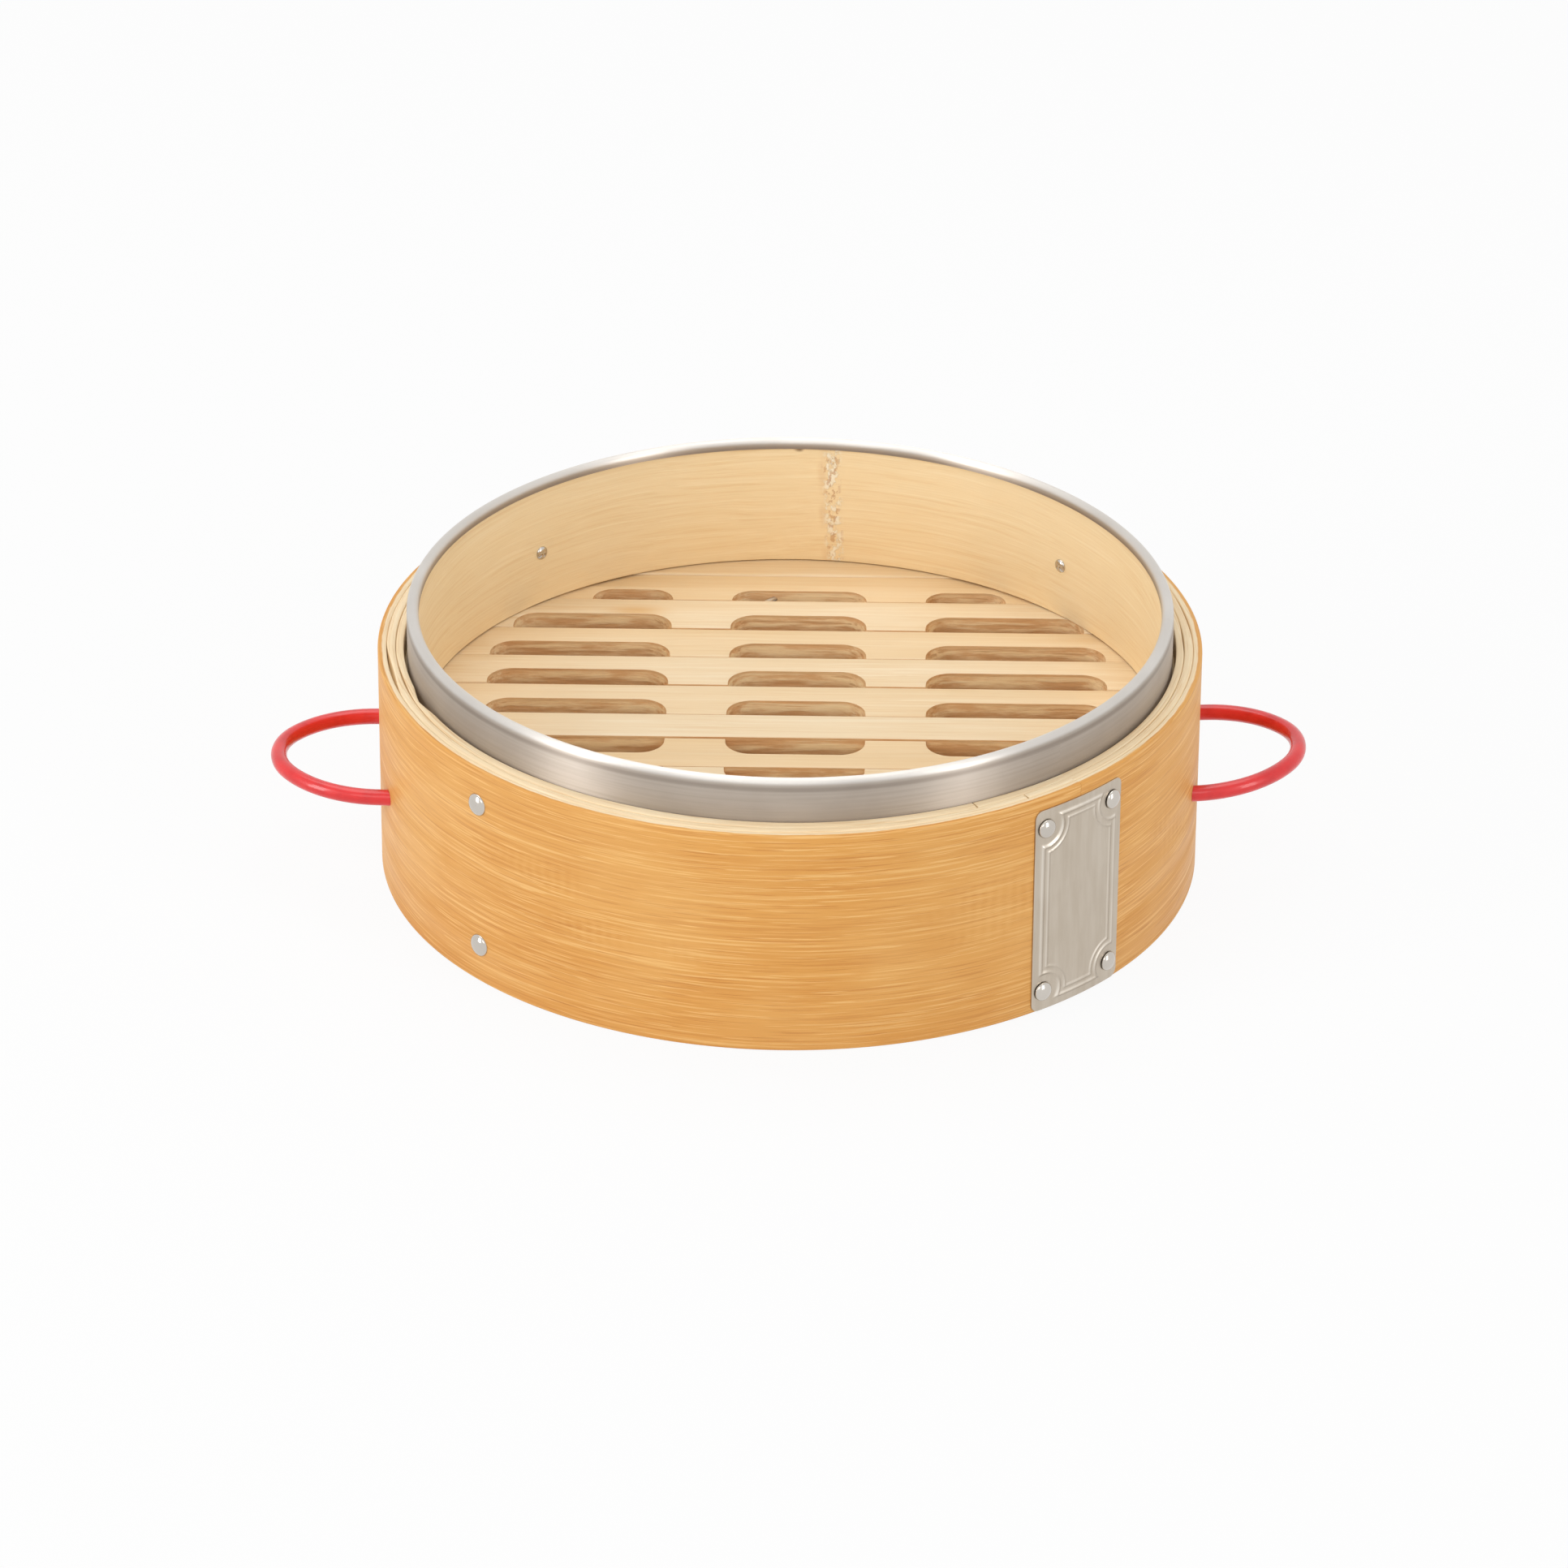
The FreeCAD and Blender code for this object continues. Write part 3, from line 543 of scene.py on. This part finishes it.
def strip(inner_r, outer_r, low_z, high_z):
    """Corners of a strip's cross-section, with extra points where the loose upper edge begins."""
    return [(inner_r, low_z), (outer_r, low_z), (outer_r, FADE_Z), (outer_r, high_z),
            (inner_r, high_z), (inner_r, FADE_Z)]


EDGE = {0: 0.4, 1: 0.4, 3: 0.4, 4: 0.4}
CLOSED_SEAM = 0.00008
bm = spun_ring(strip(117.4, OUTER_R, 0.0, WALL_TOP), EDGE, 288, SEAM_AZIMUTH, CLOSED_SEAM)
ledge_dip(bm, WALL_TOP, 0.4)
as_piece(bm, "outer_hoop", [caramel_bamboo], ["outer_band"])


# %% Middle hoop and liner
def loose(height):
    """0 where the strip is held, rising to 1 near its free upper edge."""
    return min(1.0, max(0.0, (height - FADE_Z) / (WALL_TOP - FADE_Z - 1)))


def middle_fit(azimuth, radius, height):
    """Tight against the outer hoop, but for a long gap on the left and a short one on the right."""
    outside = radius > 116
    tight = 0.24 if outside else -0.10
    left = bump_at(azimuth, -169, 9)
    right_gap = bump_at(azimuth, 9, 9)
    return tight - loose(height) * ((1.05 * left + 0.35 * right_gap) if outside else 0.12 * left)


bm = spun_ring(strip(114.9, 117.1, 0.0, WALL_TOP), EDGE, 288, -54.5)
push_radius(bm, middle_fit)
ledge_dip(bm, WALL_TOP, 2.1)
as_piece(bm, "middle_hoop", [pale_bamboo], ["middle_band"])


def liner_fit(azimuth, radius, height):
    """The liner's edge thins on the left and leaves a small three-cornered hole."""
    outside = radius > 113.7
    left = bump_at(azimuth, -166, 8)
    right_gap = bump_at(azimuth, 2, 6)
    hole = max(0.0, 1 - abs((azimuth + 158.5) / 4.5)) if azimuth > -163 else 0.0
    if outside:
        return 0.10 - loose(height) * (0.5 * left + 0.3 * right_gap)
    front = min(1.0, 1.6 * bump_at(azimuth, -92, 74))
    return loose(height) * (1.25 * hole - 0.86 * front)


corners = [(113.0, 0.0), (114.6, 0.0), (114.6, FADE_Z), (114.6, WALL_TOP), (112.4, WALL_TOP),
           (112.4, FADE_Z), (112.4, 13.5), (113.0, 13.5)]
bm = spun_ring(corners, {0: 0.3, 1: 0.4, 3: 0.4, 4: 0.4}, 288, -62.0)
push_radius(bm, liner_fit)
ledge_dip(bm, WALL_TOP, 4.0)
as_piece(bm, "inner_liner_hoop", [pale_bamboo], ["inner_liner"])

# %% Collar and filler
COLLAR_LOW, COLLAR_TOP, FILLER_TOP = 40.7, 79.65, 61.8
ALL_ROUND = {0: 0.3, 1: 0.3, 2: 0.3, 3: 0.3}
bm = spun_ring([(108.5, COLLAR_LOW), (110.8, COLLAR_LOW), (110.8, COLLAR_TOP), (108.5, COLLAR_TOP)],
               ALL_ROUND, 288, -95.0)
as_piece(bm, "collar_hoop", [collar_bamboo], ["upper_collar"])
bm = spun_ring([(110.9, COLLAR_LOW), (112.3, COLLAR_LOW), (112.3, FILLER_TOP), (110.9, FILLER_TOP)],
               ALL_ROUND, 200, 100.0)
as_piece(bm, "filler_strip", [pale_bamboo], ["filler_hoop"])

# %% [markdown]
# ## Steel rim
# The rim is one sheet, rolled over the collar: a long skirt outside, a half-round bead on top
# and a short lip inside. Its outline has square corners that a vertex bevel rounds to the bead,
# and a full spin closes it.

# %% Steel rim
rim_corners = [(111.4, 62.0), (111.4, 69.2), (111.4, 81.4), (107.9, 81.4), (107.9, 78.45),
               (108.4, 78.45), (108.4, 80.9), (110.9, 80.9), (110.9, 69.2), (110.9, 62.0)]
bm = spun_ring(rim_corners, {2: 1.749, 3: 1.749, 6: 1.249, 7: 1.249}, 320, segments=7)
as_piece(bm, "rolled_steel_rim", [rim_steel], ["steel_rim"], 40)


# %% [markdown]
# ## Slats
# The slats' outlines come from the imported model: straight planks with routed slots. A copy of
# each is merged, its flat faces are made whole, and the edges of its upper face are bevelled,
# as sanding leaves them. The tops lie a hair unevenly, and each mesh carries its own "plank"
# value for the finish.

# %% Copy of a node with softened edges
def merged_copy(name):
    """A clean mesh of a CAD node: doubles merged and flat faces made whole."""
    bm = bmesh.new()
    bm.from_mesh(nodes[name].data)
    bmesh.ops.remove_doubles(bm, verts=bm.verts, dist=0.000002)
    bmesh.ops.dissolve_limit(bm, angle_limit=math.radians(0.5), verts=bm.verts, edges=bm.edges,
                             use_dissolve_boundaries=False, delimit={"NORMAL"})
    return bm


def soften(bm, chosen, width, segments=2):
    bmesh.ops.bevel(bm, geom=chosen, offset=width * MM, offset_type="OFFSET", segments=segments,
                    profile=0.5, affect="EDGES", material=-1, clamp_overlap=True)


def sharp_edges_at(bm, height, shortest=0.0):
    """Sharp edges that lie at a height in mm and are longer than shortest mm."""
    return [e for e in bm.edges
            if all(abs(v.co.z / MM - height) < 0.01 for v in e.verts)
            and e.calc_length() / MM > shortest and e.calc_face_angle(0.0) > math.radians(40)]


# %% Thirteen slats
SLAT_TOP, SLAT_LOW = 40.5, 34.5
sink = [0.10, 0.28, 0.05, 0.22, 0.12, 0.30, 0.02, 0.24, 0.08, 0.26, 0.14, 0.32, 0.06]
planks = [0.35, 0.80, 0.15, 0.60, 0.30, 0.95, 0.05, 0.50, 0.25, 0.70, 0.10, 0.85, 0.45]
for number in range(1, 14):
    name = "floor_slat_%02d" % number
    bm = merged_copy(name)
    soften(bm, sharp_edges_at(bm, SLAT_TOP), 0.45)
    soften(bm, sharp_edges_at(bm, SLAT_LOW, 2.5), 0.4)
    for face in bm.faces:
        middle = face.calc_center_median()
        upright = abs(face.normal.z) < 0.5
        face.material_index = int(upright and math.hypot(middle.x, middle.y) < 0.1115)
    for v in bm.verts:
        v.co.z -= MM * sink[number - 1] * max(0.0, (v.co.z / MM - SLAT_LOW) / (SLAT_TOP - SLAT_LOW))
    plank = as_piece(bm, "slat_%02d" % number, [slat_bamboo, routed_bamboo], [name], 30)
    values = plank.data.attributes.new("plank", "FLOAT", "POINT")
    values.data.foreach_set("value", [planks[number - 1]] * len(plank.data.vertices))

# %% [markdown]
# ## Battens, support ring and nails
# Under the floor two battens lie across the slats, let into the notches of a thick support
# ring. Their shape is right as imported, so each batten is only merged and softened, and the
# ring is only merged. The nails, the brad and the handle wires keep their imported shape and get
# a finish.

# %% Underside pieces
for side in ("left", "right"):
    bm = merged_copy("batten_" + side)
    edges = [e for e in bm.edges
             if e.calc_length() > 0.004 and e.calc_face_angle(0.0) > math.radians(40)]
    soften(bm, edges, 0.5)
    as_piece(bm, "cross_batten_" + side, [batten_bamboo], ["batten_" + side], 30)
bm = merged_copy("support_ring")
as_piece(bm, "thick_support_ring", [pale_bamboo], ["support_ring"], 30)


def repaint(name, finish):
    """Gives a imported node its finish, and leaves its mesh alone."""
    piece = nodes[name]
    for slot in piece.material_slots:
        slot.link = "OBJECT"
        slot.material = finish
    print(name, "keeps its shape, finish", finish.name)


repaint("batten_nails", nail_steel)
repaint("slat_brad", nail_steel)
repaint("handle_wire_left", wire_steel)
repaint("handle_wire_right", wire_steel)


# %% [markdown]
# ## Rivets
# Each rivet is a shank with a domed head outside and a clinched end inside. The dome is the
# upper half of a ball, cut with a plane and pressed flat, which keeps the upright rim that a
# struck head has. Every rivet is a solid of its own, and identical ones share a piece.

# %% Rivets
def add_dome(bm, radius, height, place, around=32, rings=16):
    """A domed head on the plane z = 0 of place, which bulges along its +Z."""
    ball = bmesh.ops.create_uvsphere(bm, u_segments=around, v_segments=rings, radius=1.0)["verts"]
    faces = list({f for v in ball for f in v.link_faces})
    edges = list({e for v in ball for e in v.link_edges})
    cut = bmesh.ops.bisect_plane(bm, geom=ball + edges + faces, dist=0.0001, plane_co=(0, 0, 0),
                                 plane_no=(0, 0, -1), clear_outer=True)
    kept = [g for g in cut["geom"] if isinstance(g, bmesh.types.BMVert) and g.is_valid]
    rim = [e for e in bm.edges if e.is_boundary and all(abs(v.co.z) < 0.001 for v in e.verts)]
    bmesh.ops.holes_fill(bm, edges=rim, sides=0)
    scale = Matrix.Diagonal((radius * MM, radius * MM, height * MM, 1))
    bmesh.ops.transform(bm, matrix=place @ scale, verts=kept)


def add_shank(bm, radius, length, place):
    """A round bar from the plane z = 0 of place down along its -Z."""
    bmesh.ops.create_cone(bm, cap_ends=True, segments=20, radius1=radius * MM, radius2=radius * MM,
                          depth=length * MM, matrix=place @ Matrix.Translation((0, 0, -length * MM / 2)))


def facing_out(azimuth, radius, height):
    """A place on the wall whose +Z points straight out."""
    return (Matrix.Rotation(math.radians(azimuth), 4, "Z")
            @ Matrix.Translation((radius * MM, 0, height * MM)) @ Matrix.Rotation(math.pi / 2, 4, "Y"))


def rivet_row(name, places, seat_r, head, end_r, clinch, clinch_out, node):
    """Rivets at (azimuth, height) places. head and clinch are (radius, height) in mm."""
    bm = bmesh.new()
    for azimuth, height in places:
        seat = facing_out(azimuth, seat_r, height)
        add_dome(bm, head[0], head[1], seat)
        add_shank(bm, 1.5, seat_r - end_r, seat)
        inner = facing_out(azimuth, end_r, height) @ Matrix.Rotation(math.pi, 4, "X")
        if clinch_out:
            add_dome(bm, clinch[0], clinch[1], inner, 20, 10)
        else:
            add_shank(bm, clinch[0], clinch[1], inner)
    bmesh.ops.recalc_face_normals(bm, faces=bm.faces)
    return as_piece(bm, name, [rivet_steel], [node], 40)


BAND_AZIMUTHS = (42.3, 134.4, 223.5)
UPPER_Z, LOWER_Z = 57.3, 11.8
BAND_HEAD, CLINCH = (3.4, 1.5), (2.1, 0.8)
rivet_row("upper_rivets", [(a, UPPER_Z) for a in BAND_AZIMUTHS], OUTER_R, BAND_HEAD, 108.4, CLINCH,
          True, "upper_band_rivets")
rivet_row("lower_rivets", [(a, LOWER_Z) for a in BAND_AZIMUTHS], OUTER_R, BAND_HEAD, 113.1, CLINCH,
          False, "lower_band_rivets")
RIVET_DX, RIVET_DY = 13.0, 26.25
step = math.degrees(RIVET_DX / OUTER_R)
plate_places = [(SEAM_AZIMUTH + side * step, z) for side in (-1, 1) for z in (6.4, 58.9)]
rivet_row("plate_rivets", plate_places, 120.7, (2.9, 1.4), 113.1, CLINCH, False, "nameplate_rivets")


# %% [markdown]
# ## Plate
# The plate is a thin sheet with a double border pressed into it, scooped round each rivet. Its
# middle is left bare. A fine flat grid is pushed up along the border lines, by the distance
# from a rectangle with four round bites, then wrapped on the wall and given its thickness. The
# border's slopes get painted light: a painted highlight on one side of each ridge and a painted
# shade on the other.

# %% Plate
PLATE_W, PLATE_H, PLATE_MID_Z, PLATE_R = 34.0, 64.5, 32.65, 120.6
bm = bmesh.new()
bmesh.ops.create_grid(bm, x_segments=96, y_segments=180, size=0.5,
                      matrix=Matrix.Diagonal((PLATE_W, PLATE_H, 1, 1)))


def rounded_corner(x, y, reach=2.5):
    """Moves a place of the sheet's square corner onto the round one."""
    cx, cy = PLATE_W / 2 - reach, PLATE_H / 2 - reach
    dx, dy = abs(x) - cx, abs(y) - cy
    if dx <= 0 or dy <= 0:
        return x, y
    square = max(dx, dy)
    length = math.hypot(dx, dy)
    return math.copysign(cx + dx * square / length, x), math.copysign(cy + dy * square / length, y)


def border_depth(x, y, inset, bite):
    """Distance in mm inside a border, inset from the edges, with a round bite at each rivet."""
    box_side = min(PLATE_W / 2 - inset - abs(x), PLATE_H / 2 - inset - abs(y))
    return min(box_side, math.hypot(abs(x) - RIVET_DX, abs(y) - RIVET_DY) - bite)


def pressed_height(x, y):
    """Height in mm of the border relief: two soft ridges, with the middle raised a little."""
    first = border_depth(x, y, 2.9, 5.9)
    second = border_depth(x, y, 4.9, 7.9)
    ridge = math.exp(-(first / 0.46) ** 2) * 0.46 + math.exp(-(second / 0.36) ** 2) * 0.34
    return ridge + 0.15 / (1 + math.exp(-first / 0.25)) - 0.15


painted_slope_shading = bm.verts.layers.float.new("painted_slope_shading")
for v in bm.verts:
    x, y = rounded_corner(v.co.x, v.co.y)
    # The slope along one diagonal, from 0 to 1, is kept on the mesh for the painted highlight and shade
    # on the border's sides.
    slope = (pressed_height(x - 0.15, y + 0.15) - pressed_height(x + 0.15, y - 0.15)) / 0.42
    v[painted_slope_shading] = 0.5 - 0.5 * max(-1.0, min(1.0, slope))
    r = (PLATE_R + pressed_height(x, y)) * MM
    a = math.radians(SEAM_AZIMUTH) + x / PLATE_R
    v.co = Vector((r * math.cos(a), r * math.sin(a), (PLATE_MID_Z + y) * MM))
bmesh.ops.recalc_face_normals(bm, faces=bm.faces)
outward = sum(f.normal.dot(f.calc_center_median().normalized()) for f in bm.faces)
if outward < 0:
    bmesh.ops.reverse_faces(bm, faces=bm.faces)
bmesh.ops.solidify(bm, geom=bm.faces[:], thickness=0.0005)
reach = [math.hypot(v.co.x, v.co.y) / MM for v in bm.verts]
print("plate radii", round(min(reach), 2), round(max(reach), 2))
as_piece(bm, "riveted_plate", [plate_steel], ["nameplate"], 50)


# %% [markdown]
# ## Handles
# A handle is a steel wire bent to a loop, with a red sleeve shrunk over it. The sleeve is a
# ring-shaped face that is pushed straight out of the wall, spun round the three arcs of the
# loop and pushed back to the wall. The right handle points up a little.

# %% Sleeves
SLEEVE_R, BORE_R, HANDLE_Z, HALF, REACH, TIP_R = 2.35, 1.35, 32.0, 25.2, 29.4, 20.8
TIP_X = OUTER_R + REACH - TIP_R
SPAN = TIP_X - OUTER_R
SIDE_R = (SPAN ** 2 + HALF ** 2 - TIP_R ** 2) / (2 * (HALF - TIP_R))
SIDE_TURN = math.atan2(SPAN, SIDE_R - HALF)


def wall_end(y):
    """X of the end of a sleeve whose leg leaves the wall at y."""
    return math.sqrt(OUTER_R ** 2 - max(abs(y) - SLEEVE_R, 0.0) ** 2) + 0.2


def moved_on(bm, faces, offset):
    """Pushes the end face of the sleeve along, and returns the new end."""
    made = bmesh.ops.extrude_face_region(bm, geom=faces)["geom"]
    bmesh.ops.translate(bm, verts=[g for g in made if isinstance(g, bmesh.types.BMVert)], vec=offset)
    return [g for g in made if isinstance(g, bmesh.types.BMFace)]


def turned_on(bm, faces, centre, angle, steps):
    made = bmesh.ops.spin(bm, geom=faces, cent=centre, axis=(0, 0, 1), angle=angle, steps=steps,
                          use_duplicate=False, use_merge=False)["geom_last"]
    return [g for g in made if isinstance(g, bmesh.types.BMFace)]


def sleeve(name, side, middle_y, tilt, node):
    bm = bmesh.new()
    low_y, high_y = middle_y - HALF, middle_y + HALF
    start = (Matrix.Translation((wall_end(low_y) * MM, low_y * MM, HANDLE_Z * MM))
             @ Matrix.Rotation(math.pi / 2, 4, "Y"))
    outer = bmesh.ops.create_circle(bm, segments=28, radius=SLEEVE_R * MM, matrix=start)["verts"]
    inner = bmesh.ops.create_circle(bm, segments=28, radius=BORE_R * MM, matrix=start)["verts"]
    loops = list({e for v in outer + inner for e in v.link_edges})
    end = bmesh.ops.bridge_loops(bm, edges=loops)["faces"]
    end = moved_on(bm, end, ((OUTER_R - wall_end(low_y)) * MM, 0, 0))
    z = HANDLE_Z * MM
    side_centre = SIDE_R - HALF
    end = turned_on(bm, end, (OUTER_R * MM, (middle_y + side_centre) * MM, z), SIDE_TURN, 14)
    end = turned_on(bm, end, (TIP_X * MM, middle_y * MM, z), math.pi - 2 * SIDE_TURN, 16)
    end = turned_on(bm, end, (OUTER_R * MM, (middle_y - side_centre) * MM, z), SIDE_TURN, 14)
    moved_on(bm, end, ((wall_end(high_y) - OUTER_R) * MM, 0, 0))
    bmesh.ops.rotate(bm, verts=bm.verts, cent=(OUTER_R * MM, 0, z),
                     matrix=Matrix.Rotation(math.radians(-tilt), 3, "Y"))
    if side < 0:
        bmesh.ops.scale(bm, vec=(-1, 1, 1), verts=bm.verts)
    tidy_shell(bm)
    for v in bm.verts:
        if abs(v.co.x) < 0.1195:
            v.co.x = side * math.sqrt(0.12005 ** 2 - v.co.y ** 2)
    open_edges = sum(not e.is_manifold for e in bm.edges)
    print(name, "edges that aren't closed:", open_edges)
    return as_piece(bm, name, [red_sleeve], [node], 50)


sleeve("red_sleeve_left", -1, -6.8, 2.0, "handle_sleeve_left")
sleeve("red_sleeve_right", 1, 2.0, 5.4, "handle_sleeve_right")
